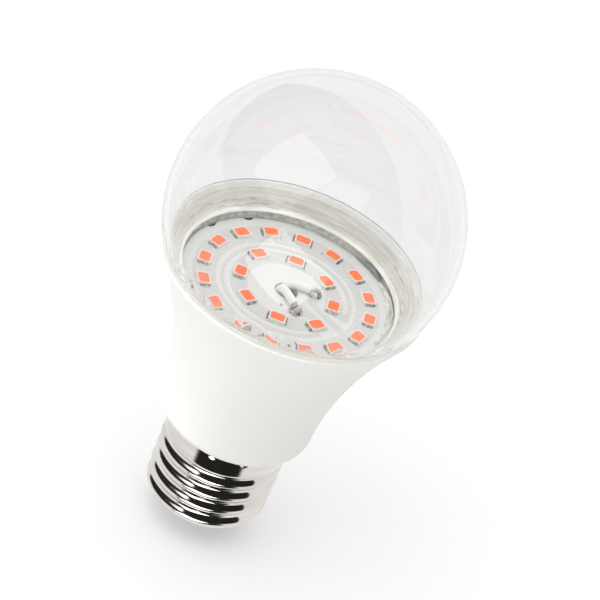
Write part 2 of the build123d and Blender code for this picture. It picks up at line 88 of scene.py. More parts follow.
def finish(name, light, dark, rough=(0.3, 0.4), metal=0.0, squeeze=(1, 1, 1), broad=120.0, fine=2500.0,
           relief=0.1, depth=0.02 * mm):
    """A material whose colour and gloss drift over the surface, with a fine relief.

    The broad pattern runs the colour from dark to light. The fine pattern runs the roughness
    between its two values, and is the height of a bump of the given depth. Both patterns are
    given in repeats to a metre.
    """
    material = bpy.data.materials.new(name)
    material.use_nodes = True
    tree = material.node_tree
    shader = tree.nodes["Principled BSDF"]
    shader.inputs["Metallic"].default_value = metal
    pattern = tree.nodes.new("ShaderNodeGroup")
    pattern.node_tree = surface_variation
    pattern.inputs["Squeeze"].default_value = squeeze
    pattern.inputs["Broad Scale"].default_value = broad
    pattern.inputs["Fine Scale"].default_value = fine
    spread = tree.nodes.new("ShaderNodeMapRange")
    spread.inputs["From Min"].default_value = noise_low
    spread.inputs["From Max"].default_value = noise_high
    tree.links.new(pattern.outputs["Broad"], spread.inputs["Value"])
    colour = tree.nodes.new("ShaderNodeMix")
    colour.data_type = "RGBA"
    colour.inputs["A"].default_value = (*dark, 1.0)
    colour.inputs["B"].default_value = (*light, 1.0)
    tree.links.new(spread.outputs["Result"], colour.inputs["Factor"])
    tree.links.new(colour.outputs["Result"], shader.inputs["Base Color"])
    gloss = tree.nodes.new("ShaderNodeMapRange")
    gloss.inputs["To Min"].default_value = rough[0]
    gloss.inputs["To Max"].default_value = rough[1]
    tree.links.new(pattern.outputs["Fine"], gloss.inputs["Value"])
    tree.links.new(gloss.outputs["Result"], shader.inputs["Roughness"])
    bump = tree.nodes.new("ShaderNodeBump")
    bump.inputs["Strength"].default_value = relief
    bump.inputs["Distance"].default_value = depth
    tree.links.new(pattern.outputs["Fine"], bump.inputs["Height"])
    tree.links.new(bump.outputs["Normal"], shader.inputs["Normal"])
    return material


def dress(node, material):
    """Give a carried-over node its finish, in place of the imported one."""
    mesh = nodes[node].data
    mesh.materials.clear()
    mesh.materials.append(material)


tinned_brass = finish("tinned_brass", (0.74, 0.68, 0.5), (0.6, 0.52, 0.36), rough=(0.22, 0.38), metal=1.0,
                      broad=500.0, fine=1800.0, relief=0.4, depth=0.05 * mm)
dress("centre_contact", tinned_brass)

# Insulator: the black glassy cone between the contact and the shell, poured and fired, so it is
# glossy with a faint ripple.
black_glass = finish("black_glass", (0.022, 0.022, 0.026), (0.012, 0.012, 0.015), rough=(0.08, 0.2),
                     broad=300.0, fine=900.0, relief=0.35, depth=0.08 * mm)
dress("base_insulator", black_glass)

# Screw shell: nickel-plated sheet rolled with a right-hand thread, its lip turned in under the
# insulator and its collar staked into the housing by a ring of punch marks.
weld_distance = 0.00002 * mm
skin_thickness = 0.03 * mm


def grid_piece(name, points, material, around=True, closed=False, crease=40.0):
    """A piece from a grid of points, smooth but for edges sharper than the crease angle.

    Columns run round the piece and rows along it; a closed grid also joins its last row to its
    first. Points that meet at a pole or a seam are welded. A grid that doesn't run round is a
    thin skin, with its thickness behind its face.
    """
    rows, columns = points.shape[:2]
    index = np.arange(rows * columns).reshape(rows, columns)
    here = index if closed else index[:-1]
    above = np.roll(index, -1, 0) if closed else index[1:]
    if around:
        quads = np.stack([here, np.roll(here, -1, 1), np.roll(above, -1, 1), above], -1)
    else:
        quads = np.stack([here[:, :-1], here[:, 1:], above[:, 1:], above[:, :-1]], -1)
    mesh = bpy.data.meshes.new(name)
    mesh.from_pydata(points.reshape(-1, 3).tolist(), [], quads.reshape(-1, 4).tolist())
    shape = bmesh.new()
    shape.from_mesh(mesh)
    bmesh.ops.remove_doubles(shape, verts=shape.verts, dist=weld_distance)
    shape.to_mesh(mesh)
    shape.free()
    mesh.polygons.foreach_set("use_smooth", np.ones(len(mesh.polygons), bool))
    mesh.set_sharp_from_angle(angle=np.radians(crease))
    mesh.materials.append(material)
    piece = bpy.data.objects.new(name, mesh)
    bpy.context.scene.collection.objects.link(piece)
    if not around:
        skin = piece.modifiers.new("skin", "SOLIDIFY")
        skin.thickness = skin_thickness
        skin.offset = -1.0
    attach(piece, "root")
    return piece


def round_axis(radius, height, angle):
    """Points at a radius and height for each row, and at an angle about Z for each column."""
    height = np.broadcast_to(height, np.broadcast(radius, angle).shape)
    return np.stack([radius * np.cos(angle), radius * np.sin(angle), height], -1)


def circle(count, centre=0.0):
    """Angles once round a circle, in radians, the first of them at the centre angle in degrees."""
    return np.radians(centre) + np.linspace(0, 2 * np.pi, count, endpoint=False)


def bezier(points, count):
    """A cubic Bezier curve from four points, as rows of points.

    The four are added with the weights of the cube of (1 - t) + t, taken term by term.
    """
    a, b, c, d = np.asarray(points, float)
    t = np.linspace(0, 1, count)[:, None]
    return (1 - t) ** 3 * a + 3 * t * (1 - t) ** 2 * b + 3 * t**2 * (1 - t) * c + t**3 * d


def ripple(angle, height, waves):
    """The mean of several sine waves that run round and up a piece, from -1 to 1.

    Each wave is (waves in a turn, waves in a mm of height, phase in radians).
    """
    total = sum(np.sin(turns * angle + 2 * np.pi * rise * height / mm + phase)
                for turns, rise, phase in waves)
    return total / len(waves)


def ease(value, low, high):
    """A smooth step from 0 at low to 1 at high: three times t squared less twice t cubed."""
    t = np.clip((value - low) / (high - low), 0, 1)
    return t * t * (3 - 2 * t)


shell_low, shell_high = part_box("screw_shell")
shell_sheet = 0.3 * mm
lip_radius = 10.9 * mm
lip_pull = 1.6 * mm
thread_crest = shell_high.x
thread_depth = 1.0 * mm
thread_pitch = 3.629 * mm
thread_top_z = 22.2 * mm
first_crest_z = shell_low.z + 2.1 * mm
crest_azimuth = -70.0
lip_fade = (shell_low.z - 0.4 * mm, first_crest_z - 0.6 * mm)
collar_fade = (thread_top_z - 1.6 * mm, thread_top_z + 0.3 * mm)
punch_count = 12
punch_azimuth = 16.0
punch_drop = 1.4 * mm
punch_radius = 0.55 * mm
punch_depth = 0.2 * mm
shell_columns = 352
shell_outer_rows = 176
shell_inner_rows = 88


def shell_surface(inset, rows, angle):
    """The rolled sheet moved in by inset: an outline round the axis, sunk along a helix.

    The outline turns up from the lip to the crest radius and runs on to the collar. The thread
    sinks it by a cosine of the height over the pitch less the angle over a turn, and fades out
    at the lip and under the collar. Punch marks are round dimples in the collar.
    """
    lip = (lip_radius, shell_low.z + inset)
    crest = thread_crest - inset
    turn_in = bezier([lip, (lip_radius + lip_pull, lip[1]), (crest, first_crest_z - lip_pull / 2),
                      (crest, first_crest_z)], rows // 8)
    rise = np.linspace(first_crest_z, shell_high.z, rows - len(turn_in) + 1)[1:]
    outline = np.concatenate([turn_in, np.stack([np.full(len(rise), crest), rise], -1)])
    radius, height = outline[:, :1], outline[:, 1:]
    phase = (height - first_crest_z) / thread_pitch - (angle - np.radians(crest_azimuth)) / (2 * np.pi)
    groove = 0.5 - 0.5 * np.cos(2 * np.pi * phase)
    window = ease(height, *lip_fade) * (1 - ease(height, *collar_fade))
    pitch_angle = 2 * np.pi / punch_count
    turn = np.mod(angle - np.radians(punch_azimuth) + pitch_angle / 2, pitch_angle) - pitch_angle / 2
    reach = np.hypot(turn * thread_crest, height - (shell_high.z - punch_drop)) / punch_radius
    sunk = thread_depth * groove * window + punch_depth * np.exp(-reach**4)
    return round_axis(radius - sunk, height, angle)


shell_angle = circle(shell_columns, crest_azimuth)
shell_points = np.concatenate([shell_surface(0.0, shell_outer_rows, shell_angle),
                               shell_surface(shell_sheet, shell_inner_rows, shell_angle)[::-1]])
bright_nickel = finish("bright_nickel", (0.76, 0.735, 0.7), (0.65, 0.62, 0.58), rough=(0.05, 0.13),
                       metal=1.0, squeeze=(1, 1, 6), broad=90.0, fine=700.0, relief=0.12, depth=0.03 * mm)
screw_shell = grid_piece("rolled_shell", shell_points, bright_nickel, closed=True)
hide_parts("screw_shell")

# Housing: injection-moulded white shell, flared from the cap to the globe, with a satin mould
# finish and a rounded foot. Its outside is one smooth curve that ends in a straight cone, and a
# sleeve inside its foot goes down into the cap.
rim_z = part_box("housing")[1].z
rim_radius = 28.0 * mm
rim_angle = np.radians(31.0)
rim_land = 0.1 * mm
rim_rounding = 0.3 * mm
rim_pull = 13.3 * mm
cone_reach = 12.0 * mm
neck_radius = 16.4 * mm
neck_lean = 0.45 * mm
neck_pull = 11.9 * mm
neck_reach = 5.0 * mm
housing_bottom_z = shell_high.z
housing_wall = 1.1 * mm
flare_foot_z = housing_bottom_z + 3.2 * mm
flare_steps = 400


def flare(inset, heights):
    """The flare's radius at each height, its wall moved in by inset, as (radius, height) rows.

    It is a cubic Bezier curve from the neck up to the rim, read off between its points.
    """
    across, along = np.sin(rim_angle), np.cos(rim_angle)
    rim = np.array([rim_radius - inset * along, rim_z + inset * across])
    neck = neck_radius - inset
    curve = bezier([(neck, flare_foot_z), (neck + neck_lean, flare_foot_z + neck_pull),
                    rim - rim_pull * np.array([across, along]), rim], flare_steps)
    cone = rim + cone_reach * np.array([across, along])
    curve = np.concatenate([[(neck, flare_foot_z - neck_reach)], curve, [cone]])
    return np.stack([np.interp(heights, curve[:, 1], curve[:, 0]), heights], -1)


def flare_point(inset, height):
    """One (radius, height) point on the flare moved in by inset."""
    return flare(inset, np.array([height]))[0]


def rounded(corner, before, after, radius, count=8):
    """A rounded corner between two runs: a quadratic curve from one tangent point to the other."""
    corner, before, after = (np.asarray(point, float) for point in (corner, before, after))
    start = corner + radius * (before - corner) / np.linalg.norm(before - corner)
    end = corner + radius * (after - corner) / np.linalg.norm(after - corner)
    t = np.linspace(0, 1, count)[:, None]
    return (1 - t) ** 2 * start + 2 * t * (1 - t) * corner + t**2 * end


foot_rounding = 3.0 * mm
inside_foot_z = 33.0 * mm
spigot_radius = shell_high.x - shell_sheet - 0.1 * mm
spigot_foot_z = 22.3 * mm
sleeve_outer = 11.75 * mm
sleeve_inner = 10.25 * mm
sleeve_foot_z = 12.0 * mm
sleeve_top_z = 27.5 * mm
outside = flare(0.0, np.linspace(flare_foot_z, rim_z - rim_rounding, 90))
inside = flare(housing_wall, np.linspace(inside_foot_z, rim_z, 60))[::-1]
foot = rounded((neck_radius, housing_bottom_z), (spigot_radius, housing_bottom_z),
               (neck_radius, flare_foot_z), foot_rounding, 16)
rim = rounded((rim_radius - rim_land, rim_z), outside[-1], flare_point(housing_wall, rim_z), rim_rounding)
spigot = [(spigot_radius, spigot_foot_z), (spigot_radius, housing_bottom_z)]
sleeve = [(sleeve_inner, sleeve_top_z), (sleeve_inner, sleeve_foot_z), (sleeve_outer, sleeve_foot_z),
          (sleeve_outer, spigot_foot_z)]
housing_profile = np.concatenate([spigot, foot, outside[1:], rim, inside, sleeve])
housing_points = round_axis(housing_profile[:, :1], housing_profile[:, 1:], circle(256))
white_moulding = finish("white_moulding", (0.9, 0.89, 0.86), (0.885, 0.874, 0.842), rough=(0.36, 0.46),
                        broad=60.0, fine=3500.0, relief=0.08, depth=0.015 * mm)
translucent = white_moulding.node_tree.nodes["Principled BSDF"]
translucent.inputs["Subsurface Weight"].default_value = 0.12
translucent.inputs["Subsurface Radius"].default_value = (1.0, 0.9, 0.7)
translucent.inputs["Subsurface Scale"].default_value = 1.5 * mm
housing = grid_piece("moulded_housing", housing_points, white_moulding, closed=True)
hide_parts("housing")

# Heat sink cup: aluminium drawn to shape and pressed into the housing. Its wall is dull and
# finely mottled, because the globe's adhesive has crept over it.
drawn_aluminium = finish("drawn_aluminium", (0.68, 0.69, 0.65), (0.36, 0.37, 0.34), rough=(0.3, 0.6),
                         metal=0.7, squeeze=(1, 1, 1.6), broad=1100.0, fine=3200.0, relief=0.5,
                         depth=0.08 * mm)
dress("heat_sink_cup", drawn_aluminium)

# Driver: a bare laminate board on edge in the housing, loaded by hand with the capacitors and
# the choke, its chips soldered flat to the back.
driver_finishes = {
    "driver_board": finish("laminate", (0.36, 0.4, 0.17), (0.28, 0.32, 0.12), rough=(0.4, 0.55),
                           squeeze=(1, 1, 4), broad=400.0, fine=2600.0, relief=0.2),
    "bulk_capacitor": finish("dark_sleeve", (0.05, 0.055, 0.09), (0.035, 0.04, 0.065), rough=(0.22, 0.32)),
    "film_capacitor": finish("dipped_coat", (0.55, 0.17, 0.07), (0.44, 0.12, 0.05), rough=(0.18, 0.3)),
    "fusible_resistor": finish("green_enamel", (0.24, 0.4, 0.24), (0.2, 0.34, 0.2), rough=(0.25, 0.4)),
    "choke_core": finish("ferrite", (0.07, 0.07, 0.072), (0.045, 0.045, 0.047), rough=(0.5, 0.7), relief=0.3),
    "choke_winding": finish("enamelled_wire", (0.72, 0.34, 0.14), (0.52, 0.22, 0.08), rough=(0.22, 0.34),
                            metal=1.0, squeeze=(1, 5, 1), fine=1400.0, relief=0.6, depth=0.1 * mm),
    "bridge_rectifier": finish("black_moulding", (0.03, 0.03, 0.032), (0.02, 0.02, 0.021), rough=(0.4, 0.55)),
    "live_lead": finish("lead_insulation", (0.8, 0.79, 0.74), (0.74, 0.73, 0.68), rough=(0.3, 0.42)),
}
driver_finishes["output_capacitor"] = driver_finishes["bulk_capacitor"]
driver_finishes["neutral_lead"] = driver_finishes["live_lead"]
for chip in ("driver_chip", "flyback_diode"):
    driver_finishes[chip] = driver_finishes["bridge_rectifier"]
for node, material in driver_finishes.items():
    dress(node, material)

# LED board: round aluminium-core board under a white solder mask, and the copper fields that
# show through it as a slightly greyer white.
board_top_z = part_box("led_board")[1].z
white_mask = finish("white_mask", (0.83, 0.822, 0.8), (0.81, 0.803, 0.782), rough=(0.22, 0.32), broad=200.0,
                    fine=2200.0, relief=0.12, depth=0.02 * mm)
dress("led_board", white_mask)
masked_copper = finish("masked_copper", (0.735, 0.72, 0.7), (0.705, 0.69, 0.67), rough=(0.22, 0.32),
                       broad=260.0, fine=2000.0, relief=0.18, depth=0.03 * mm)
dress("copper_fields", masked_copper)


# LEDs: white moulded frames on the board, each with a tinted silicone fill in its window and a
# tinned foot at each end, soldered down by reflow. The feet are patched from near black to pale
# in painted reflections, and the fill has a faint painted glow, though the bulb is not lit.
def glow(material, colour, strength):
    """Let a material give off a faint light of its own, the same all over."""
    shader = material.node_tree.nodes["Principled BSDF"]
    shader.inputs["Emission Color"].default_value = (*colour, 1.0)
    shader.inputs["Emission Strength"].default_value = strength


moulded_frame = finish("moulded_frame", (0.87, 0.87, 0.84), (0.82, 0.82, 0.79), rough=(0.25, 0.35),
                       fine=2600.0)
tinted_fill = finish("tinted_fill", (1.0, 0.2, 0.06), (0.97, 0.15, 0.035), rough=(0.3, 0.42), broad=900.0,
                     fine=3800.0, relief=0.3, depth=0.03 * mm)
# The feet's colour runs in patches from near black to pale: painted dark and bright reflections on the tin.
tin_painted_reflections = finish("tin_painted_reflections", (0.85, 0.84, 0.8), (0.05, 0.045, 0.035), rough=(0.1, 0.3), metal=1.0,
                      broad=1900.0, fine=3000.0, relief=0.9, depth=0.25 * mm)
for node in nodes:
    if node.startswith(("led_outer", "led_inner")):
        dress(node, moulded_frame)
# Painted glow: the fill gives off a faint light of its own, though the LEDs are not lit.
glow(tinted_fill, (1.0, 0.2, 0.03), 0.16)
dress("phosphor_fills", tinted_fill)
dress("led_terminals", tin_painted_reflections)

# Wires: two insulated leads that come up through the board's hole side by side, bend over to
# their pads and end stripped in a hand-soldered blob.
tube_columns = 28
tube_end_swell = 0.86
solder_columns = 72
solder_rows = 30
solder_lumps = 0.13
solder_top_lumps = 0.1
solder_drawn = 0.16
solder_drawn_width = 0.55


def tube(name, path, radius, material):
    """A round tube along a path that stays near one upright plane, its ends closed and softened.

    Each ring is the cosine of its turn along the level direction and the sine along the upright
    one, times the radius.
    """
    path = np.concatenate([path[:1], path[:1], path, path[-1:], path[-1:]])
    swell = np.concatenate([[0.0, tube_end_swell], np.ones(len(path) - 4), [tube_end_swell, 0.0]])
    tangent = np.gradient(path, axis=0)
    tangent[:2], tangent[-2:] = tangent[2], tangent[-3]
    tangent /= np.linalg.norm(tangent, axis=1, keepdims=True)
    along = path[-1] - path[0]
    level = np.array([-along[1], along[0], 0.0]) / np.hypot(along[0], along[1])
    upright = np.cross(tangent, level)
    upright /= np.linalg.norm(upright, axis=1, keepdims=True)
    sideways = np.cross(upright, tangent)
    turn = circle(tube_columns)[None, :, None]
    ring = np.cos(turn) * sideways[:, None] + np.sin(turn) * upright[:, None]
    return grid_piece(name, path[:, None] + swell[:, None, None] * radius * ring, material)


def blob(name, foot, radius, height, towards_wire, waves, material):
    """A lumpy mound of solder on a pad, drawn up on the side that its wire comes from.

    Its radius is a power of the cosine of the rise and its height a power of the sine, both
    with ripples, and a bell curve of the turn widens the side towards the wire.
    """
    turn, rise = circle(solder_columns), np.linspace(0, np.pi / 2, solder_rows)[:, None]
    lump = 1 + solder_lumps * ripple(turn, rise * mm, waves) * np.cos(rise)
    off_wire = np.mod(turn - towards_wire + np.pi, 2 * np.pi) - np.pi
    side = np.exp(-(off_wire / solder_drawn_width) ** 2)
    spread = radius * lump * np.cos(rise) ** 0.75 * (1 + solder_drawn * side * np.sin(2 * rise))
    top_lump = 1 + solder_top_lumps * ripple(turn, rise * mm, waves[::-1]) * np.cos(rise)
    top = height * np.sin(rise) ** 0.9 * top_lump
    spread, top = (np.vstack([0 * turn, rows]) for rows in (spread, top))
    return grid_piece(name, round_axis(spread, top, turn) + np.asarray(foot), material, crease=70.0)


white_insulation = finish("white_insulation", (0.9, 0.885, 0.85), (0.84, 0.82, 0.78), rough=(0.3, 0.42),
                          fine=1800.0)
# The solder's colour runs in patches from near white to near black: painted highlights and painted dark
# reflections.
solder_painted_reflections = finish("solder_painted_reflections", (1.0, 0.99, 0.97), (0.1, 0.08, 0.05), rough=(0.05, 0.15), metal=1.0,
                     broad=1150.0, fine=1100.0, relief=1.0, depth=0.4 * mm)
wire_radius = 0.85 * mm
core_radius = 0.5 * mm
joint_radius = 1.3 * mm
solder_radius = 1.42 * mm
solder_height = 1.25 * mm
foot_x, foot_y = -0.3 * mm, 1.4 * mm
foot_pull = [0, 0, 4 * mm]
lean_z = 61.3 * mm
lean_pull = [0, 0, 1.9 * mm]
wire_leans = {"positive": (-0.9, 0.75), "negative": (-1.15, -0.9)}
strip_gap = 1.25 * mm
strip_lift = [0, 0, 0.95 * mm]
droop_run = 2.9 * mm
droop_lift = [0, 0, 0.45 * mm]
core_bend_lift = [0, 0, 0.9 * mm]
core_end_lift = [0, 0, 0.7 * mm]
blob_waves = {"positive": ((3, 0.3, 0.4), (5, 0.5, 2.0), (8, 0.2, 4.1)),
              "negative": ((2, 0.4, 1.9), (5, 0.3, 0.2), (7, 0.6, 3.0))}
for side, (lean_x, lean_y) in wire_leans.items():
    joint_low, joint_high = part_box(f"{side}_joint")
    joint_y = joint_high.y - joint_radius if side == "positive" else joint_low.y + joint_radius
    pad = np.array([joint_high.x - joint_radius, joint_y, joint_low.z])
    foot = np.array([foot_x, np.sign(lean_y) * foot_y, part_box(f"{side}_wire")[0].z])
    lean = np.array([lean_x * mm, lean_y * mm, lean_z])
    run = pad - lean
    run[2] = 0
    run /= np.linalg.norm(run)
    end = pad - run * strip_gap + strip_lift
    rise = bezier([foot, foot + foot_pull, lean - foot_pull, lean], 14)
    bend = bezier([lean, lean + lean_pull, end - run * droop_run + droop_lift, end], 26)
    wire_path = np.concatenate([rise, bend[1:]])
    wire = tube(f"{side}_lead", wire_path, wire_radius, white_insulation)
    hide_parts(f"{side}_wire")
    towards_wire = np.arctan2(-run[1], -run[0])
    solder = blob(f"{side}_solder", pad, solder_radius, solder_height, towards_wire, blob_waves[side],
                  solder_painted_reflections)
    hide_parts(f"{side}_joint")
    core = bezier([end - run * 0.1 * mm, end + run * 0.3 * mm, pad + core_bend_lift, pad + core_end_lift], 8)
    tube(f"{side}_core", core, core_radius, solder_painted_reflections)

# Polarity mark: a plain plus beside the joints, printed in dark ink on the board's mask, so it
# stands a hair above it.
mark_print = finish("mark_print", (0.3, 0.3, 0.25), (0.24, 0.24, 0.2), rough=(0.4, 0.5), fine=3000.0)
mark_centre = np.array([1.87 * mm, -4.69 * mm, board_top_z + 0.02 * mm])
mark_reach = 0.5 * mm
mark_line = 0.09 * mm
for name, half in (("mark_across", (mark_reach, mark_line)), ("mark_along", (mark_line, mark_reach))):
    corners = np.array([[(x * half[0], y * half[1], 0) for x in (-1, 1)] for y in (-1, 1)])
    grid_piece(name, corners + mark_centre, mark_print, around=False)

# Silicone: cream adhesive that glues the globe's skirt into the rim. A film, given a faint painted
# glow for the light that comes through the thin white rim, fills the gap down the skirt and wells
# up round its foot, and a clear bead closes the seam outside. Both wet the globe, so they start just
# inside its faces.
globe_low, globe_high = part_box("globe")
skirt_outer_inset = 1.45 * mm
skirt_wall = 1.2 * mm
skirt_inner_inset = skirt_outer_inset + skirt_wall
shoulder_z = rim_z + 1.0 * mm
wetting = 0.03 * mm
cup_top_z = globe_low.z - 0.08 * mm
pocket_radius = 22.5 * mm
ledge_width = 0.9 * mm
fillet_top_z = globe_low.z + 0.7 * mm
fillet_pull = 0.3 * mm
fillet_foot = (pocket_radius + 0.1 * mm, cup_top_z + 0.05 * mm)
fillet_lean = (pocket_radius + 0.15 * mm, cup_top_z + fillet_pull)
fillet_band = 0.35 * mm
film_unevenness = 0.12 * mm
film_waves = ((7, 0, 0.3), (18, 0, 1.7), (33, 0, 4.0))
cream_silicone = finish("cream_silicone", (0.96, 0.945, 0.9), (0.62, 0.605, 0.53), rough=(0.3, 0.45),
                        squeeze=(1, 1, 14), broad=110.0, fine=420.0, relief=0.8, depth=0.14 * mm)
# Painted glow: the cream silicone gives off a faint light of its own, standing in for light through the rim.
glow(cream_silicone, (1.0, 0.97, 0.9), 0.15)
housing_side = flare(housing_wall + wetting, np.linspace(cup_top_z, rim_z + wetting, 30))[::-1]
ledge = [(pocket_radius + ledge_width, cup_top_z), (pocket_radius + 0.12 * mm, cup_top_z)]
fillet = bezier([fillet_foot, fillet_lean, flare_point(skirt_inner_inset, fillet_top_z - fillet_pull),
                 flare_point(skirt_inner_inset - wetting, fillet_top_z)], 8)
under_foot = [flare_point(skirt_inner_inset - 2 * wetting, globe_low.z + wetting)]
skirt_side = flare(skirt_outer_inset + wetting, np.linspace(globe_low.z + wetting, rim_z + wetting, 24))
film_profile = np.concatenate([housing_side, ledge, fillet, under_foot, skirt_side])
film_turn = circle(320)
film_uneven = film_unevenness * ripple(film_turn, 0.0, film_waves)
near_fillet = np.exp(-((film_profile[:, 1:] - fillet_top_z) / fillet_band) ** 2) * (
    film_profile[:, :1] < flare_point(skirt_outer_inset + 0.7 * skirt_wall, fillet_top_z)[0])
film_points = round_axis(film_profile[:, :1], film_profile[:, 1:] + near_fillet * film_uneven, film_turn)
film = grid_piece("silicone_film", film_points[::-1], cream_silicone, closed=True)
clear_silicone = finish("clear_silicone", (0.97, 0.97, 0.94), (0.9, 0.895, 0.85), rough=(0.25, 0.4),
                        squeeze=(1, 1, 12), broad=120.0, fine=500.0, relief=0.5, depth=0.1 * mm)
clear_silicone.node_tree.nodes["Principled BSDF"].inputs["Alpha"].default_value = 0.16
seam_face = rim_radius - 0.45 * mm
seam_inner = flare_point(skirt_outer_inset + wetting, rim_z)[0]
seam_foot_z = rim_z - 0.02 * mm
seam_bow = 0.1 * mm
seam_pull = 0.3 * mm
seam_lean = 0.55 * mm
seam_unevenness = 0.06 * mm
seam_waves = ((9, 0.3, 0.9), (23, 0.5, 2.4), (47, 0.2, 0.1))
seam_outline = bezier([(seam_face + 0.02 * mm, seam_foot_z), (seam_face - seam_bow, rim_z + seam_pull),
                       (seam_face - seam_bow, shoulder_z - seam_pull), (seam_face, shoulder_z + wetting)], 8)
seam_profile = np.concatenate([[(seam_inner, seam_foot_z)], seam_outline,
                               [(seam_inner + seam_lean, shoulder_z + wetting)]])
seam_uneven = seam_unevenness * ripple(film_turn, seam_profile[:, 1:] - rim_z, seam_waves)
on_face = seam_profile[:, :1] > seam_face - 2 * seam_bow
seam_points = round_axis(seam_profile[:, :1] + on_face * seam_uneven, seam_profile[:, 1:], film_turn)
seam_bead = grid_piece("seam_bead", seam_points, clear_silicone, closed=True)
lip_radii = seam_face + np.array([[-0.3], [0.08], [0.08], [-0.3]]) * mm
lip_heights = shoulder_z + np.array([[-1.0], [-1.0], [1.0], [1.0]]) * wetting
grid_piece("seam_lip", round_axis(lip_radii, lip_heights, film_turn), cream_silicone, closed=True)
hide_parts("silicone_seal")
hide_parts("silicone_seal")

# Adhesive runs: what the skirt's foot pushed out. It fills the gap round the board's edge but for
# two short openings, where near-black strips are painted shadow of the gap, is smeared in thin
# lines on the skirt's inside, and lies thick and wrinkled in the corner on one side, where it ends
# at an air pocket that leaves the cup's wall bare, its grey darkened with painted shade.
gap_openings = ((143.0, 148.6), (167.0, 173.2))
edge_arcs = ((gap_openings[0][1], gap_openings[1][0]), (gap_openings[1][1], gap_openings[0][0] + 360.0))
fill_width = 0.28 * mm
fill_waver = 0.05 * mm
fill_waves = ((31, 0, 0.2), (74, 0, 1.1), (113, 0, 2.2))
fill_crease = 80.0
thin_silicone = finish("thin_silicone", (0.86, 0.86, 0.81), (0.6, 0.61, 0.56), rough=(0.35, 0.5),
                       broad=500.0, fine=1500.0, relief=0.5, depth=0.1 * mm)
for k, (start, end) in enumerate(edge_arcs):
    turn = np.radians(np.linspace(start, end, int(end - start) + 2))
    wave = fill_waver * ripple(turn, 0.0, fill_waves)
    inner = pocket_radius - fill_width + wave
    outer = pocket_radius + 0.02 * mm + 0 * turn
    fill_rows = [round_axis(outer, board_top_z + 0.16 * mm + wave, turn),
                 round_axis(inner + 0.1 * mm, board_top_z + 0.06 * mm, turn),
                 round_axis(inner, board_top_z + 0.01 * mm, turn)]
    grid_piece(f"edge_fill_{k + 1}", np.stack(fill_rows), thin_silicone, around=False,
               crease=fill_crease)
# In the two openings, near-black strips on the board's edge: painted shadow of the gap below them.
painted_gap_shadow = finish("painted_gap_shadow", (0.012, 0.012, 0.012), (0.006, 0.006, 0.006), rough=(0.6, 0.8))
gap_width = 0.6 * mm
gap_swell = np.sin(np.linspace(0, np.pi, 24)) ** 0.6
for k, (start, end) in enumerate(gap_openings):
    turn = np.radians(np.linspace(start, end, len(gap_swell)))
    gap_rows = [round_axis(pocket_radius - gap_width * gap_swell * share, board_top_z + 0.02 * mm, turn)
                for share in (0.0, 0.5, 1.0)]
    grid_piece(f"gap_shadow_strip_{k + 1}", np.stack(gap_rows), painted_gap_shadow, around=False)
smeared_silicone = finish("smeared_silicone", (0.96, 0.945, 0.9), (0.34, 0.36, 0.28), rough=(0.3, 0.5),
                          squeeze=(1, 1, 4.5), broad=330.0, fine=800.0, relief=1.0, depth=0.2 * mm)
run_turn = np.radians(np.linspace(-66.0, 62.0, 300))
run_share = np.linspace(0, 1, 26)[:, None]
run_swell = np.sin(np.linspace(0, np.pi, 300)) ** 0.4
run_waves = ((19, 0, 0.5), (43, 0, 2.5), (71, 0, 1.0))
run_width = (1.2 + 0.4 * ripple(run_turn, 0.0, run_waves)) * run_swell * mm
run_climb = 1.74
wrinkle_depth = 0.16 * mm
wrinkle_waves = ((23, 1.3, 0.4), (37, -1.9, 2.0), (61, 2.6, 4.4))
wrinkle = wrinkle_depth * ripple(run_turn, run_share * 1.7 * mm, wrinkle_waves) * np.sin(np.pi * run_share)
run_radius = pocket_radius - 0.02 * mm - run_width * (1 - run_share) ** 1.6 - wrinkle * run_swell
run_height = board_top_z + (0.01 + run_climb * run_share**1.5 * run_swell) * mm + 0.5 * wrinkle
run_points = round_axis(run_radius, run_height, run_turn)[::-1]
grid_piece("adhesive_run", run_points, smeared_silicone, around=False, crease=fill_crease)
smear_inset = skirt_inner_inset + 0.03 * mm
smear_width = 0.13 * mm
smear_lift = 0.05 * mm
smear_section = ((1.0, 0.0), (0.5, 0.8), (0.0, 1.0), (-0.5, 0.8), (-1.0, 0.0))
smear_swell = np.sin(np.linspace(0, np.pi, 240)) ** 0.5
smear_lines = ((-58, 66, 1.1, 0.25), (-40, 52, 1.75, 0.3), (-64, 20, 2.3, 0.22),
               (8, 74, 2.6, 0.2), (96, 170, 1.2, 0.12), (110, 205, 2.2, 0.16))
for k, (start, end, rise, sway) in enumerate(smear_lines):
    turn = np.radians(np.linspace(start, end, len(smear_swell)))
    wander = ripple(turn, 0.0, ((5, 0, k), (13, 0, 2.0 * k), (29, 0, 3.0 * k)))
    middle = globe_low.z + (rise + sway * wander) * mm
    width = smear_width * smear_swell * (1 + 0.6 * ripple(turn, 0.0, ((41, 0, k),)))
    smear_rows = []
    for share, lift in smear_section:
        height = middle + share * width
        radius = flare(smear_inset, height)[:, 0] - smear_lift * lift
        smear_rows.append(round_axis(radius, height, turn))
    grid_piece(f"smear_{k + 1}", np.stack(smear_rows), smeared_silicone, around=False,
               crease=fill_crease)
